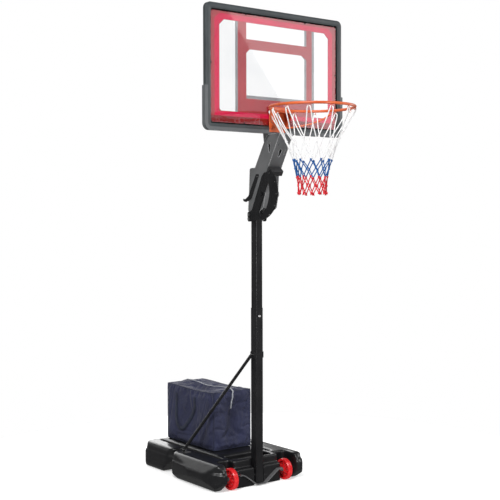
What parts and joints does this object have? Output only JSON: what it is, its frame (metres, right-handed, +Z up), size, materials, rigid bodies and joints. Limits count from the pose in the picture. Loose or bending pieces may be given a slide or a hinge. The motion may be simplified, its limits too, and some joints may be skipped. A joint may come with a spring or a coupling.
{
  "type": "portable basketball hoop",
  "caption": "Wheeled ballast base with a square pole, a swinging lift arm that keeps its backboard upright, and a rim with a tapering net; a weight bag rests on the base.",
  "frame": {"origin": "on the floor, under the middle of the bounding box; the pole's axis is 43 mm in front of it", "axes": "+Z up, -Y towards the court in front of the board, +Y to the back of the base, +X to the right of someone behind the camera who faces the board"},
  "size_m": [1.014, 1.5912, 2.788],
  "materials": {
    "tank_plastic": "blow-moulded, fine grain",
    "cap_plastic": "moulded satin",
    "wheel_red": "moulded semi-gloss",
    "steel_grey": "grey powder coat",
    "zinc": "zinc plated",
    "pole_black": "black powder coat",
    "plate_black": "black powder coat",
    "arm_grey": "grey powder coat",
    "bush_plastic": "nylon",
    "frame_plastic": "moulded fine grain",
    "panel_clear": "clear polycarbonate with a translucent red print",
    "screw_black": "black oxide",
    "pad_grey": "soft moulded bumper",
    "rim_orange": "orange powder coat",
    "net_cord": "braided cord in white, blue and red",
    "bag_fabric": "woven polyester",
    "bag_webbing": "woven webbing",
    "zip_tape": "zip tape with coil"
  },
  "bodies": {
    "stand": {"base_tank": "tank_plastic", "wheel_axle": "steel_grey", "wheel_washers": "steel_grey", "foot_bracket": "steel_grey", "foot_bolts": "zinc", "pole_lower": "pole_black", "pole_upper": "pole_black", "pole_top_cap": "cap_plastic", "pole_joint_bolt": "zinc", "pole_joint_nut": "zinc", "strut_left": "pole_black", "strut_right": "pole_black", "strut_collar": "pole_black", "strut_foot_brackets": "steel_grey", "strut_bolts": "zinc", "head_plate_left": "plate_black", "head_plate_right": "plate_black", "link_post_left": "plate_black", "link_post_right": "plate_black", "head_spacers": "steel_grey", "head_bolts": "zinc", "main_pivot_bolt": "zinc", "head_nuts": "zinc", "link_lower_bolt": "zinc"},
    "fill_cap": {"fill_cap": "cap_plastic"},
    "wheel_left": {"wheel_left": "wheel_red"},
    "wheel_right": {"wheel_right": "wheel_red"},
    "lift_arm": {"lift_arm": "arm_grey", "pivot_bushes": "bush_plastic", "lock_block": "cap_plastic", "carrier_pivot_bolt": "zinc", "lever_bolt": "zinc", "keyhole_studs": "zinc"},
    "lock_pin": {"lock_pin": "zinc"},
    "release_lever": {"release_lever": "plate_black"},
    "level_link": {"level_link": "arm_grey"},
    "backboard": {"board_carrier": "arm_grey", "link_upper_bolt": "zinc", "carrier_bolts": "zinc", "backboard_frame": "frame_plastic", "backboard_panel": "panel_clear", "frame_screws": "screw_black", "edge_pad": "pad_grey", "rim_ring": "rim_orange", "rim_bracket": "rim_orange", "rim_brace_left": "rim_orange", "rim_brace_right": "rim_orange", "rim_bolts": "zinc", "net_hooks": "rim_orange", "net": "net_cord"},
    "weight_bag": {"weight_bag": "bag_fabric", "bag_handles": "bag_webbing", "bag_zip": "zip_tape"},
    "zip_pull": {"zip_pull": "zinc"}
  },
  "joints": [
    {"name": "wheel_left_spin", "type": "hinge", "parent": "stand", "child": "wheel_left", "pos_m": [-0.203, -0.051, 0.064], "axis": [1, 0, 0], "continuous": true},
    {"name": "wheel_right_spin", "type": "hinge", "parent": "stand", "child": "wheel_right", "pos_m": [0.203, -0.051, 0.064], "axis": [1, 0, 0], "continuous": true},
    {"name": "board_lift", "type": "hinge", "parent": "stand", "child": "lift_arm", "pos_m": [0, -0.162, 1.738], "axis": [1, 0, 0], "range_deg": [0, 58.6]},
    {"name": "board_level", "type": "hinge", "parent": "lift_arm", "child": "backboard", "pos_m": [0, -0.233, 2.03], "axis": [1, 0, 0], "range_deg": [-58.6, 0]},
    {"name": "link_swing", "type": "hinge", "parent": "stand", "child": "level_link", "pos_m": [0, -0.117, 1.753], "axis": [1, 0, 0], "range_deg": [0, 58.6]},
    {"name": "release_lever_squeeze", "type": "hinge", "parent": "lift_arm", "child": "release_lever", "pos_m": [0, -0.115, 1.84], "axis": [1, 0, 0], "range_deg": [-8, 0]},
    {"name": "lock_pin_slide", "type": "slide", "parent": "lift_arm", "child": "lock_pin", "axis": [-1, 0, 0], "range_m": [0, 0.007]},
    {"name": "fill_cap_lift", "type": "slide", "parent": "stand", "child": "fill_cap", "axis": [0, 0, 1], "range_m": [0, 0.04]},
    {"name": "bag_lift_off", "type": "slide", "parent": "stand", "child": "weight_bag", "axis": [0, 0, 1], "range_m": [0, 0.5]},
    {"name": "zip_slide", "type": "slide", "parent": "weight_bag", "child": "zip_pull", "axis": [0, -1, 0], "range_m": [0, 0.42]}
  ],
  "couplings": [
    {"joint": "board_level", "follows": "board_lift", "ratio": -1},
    {"joint": "link_swing", "follows": "board_lift", "ratio": 1},
    {"joint": "lock_pin_slide", "follows": "release_lever_squeeze", "m_per_rad": -0.04942}
  ]
}
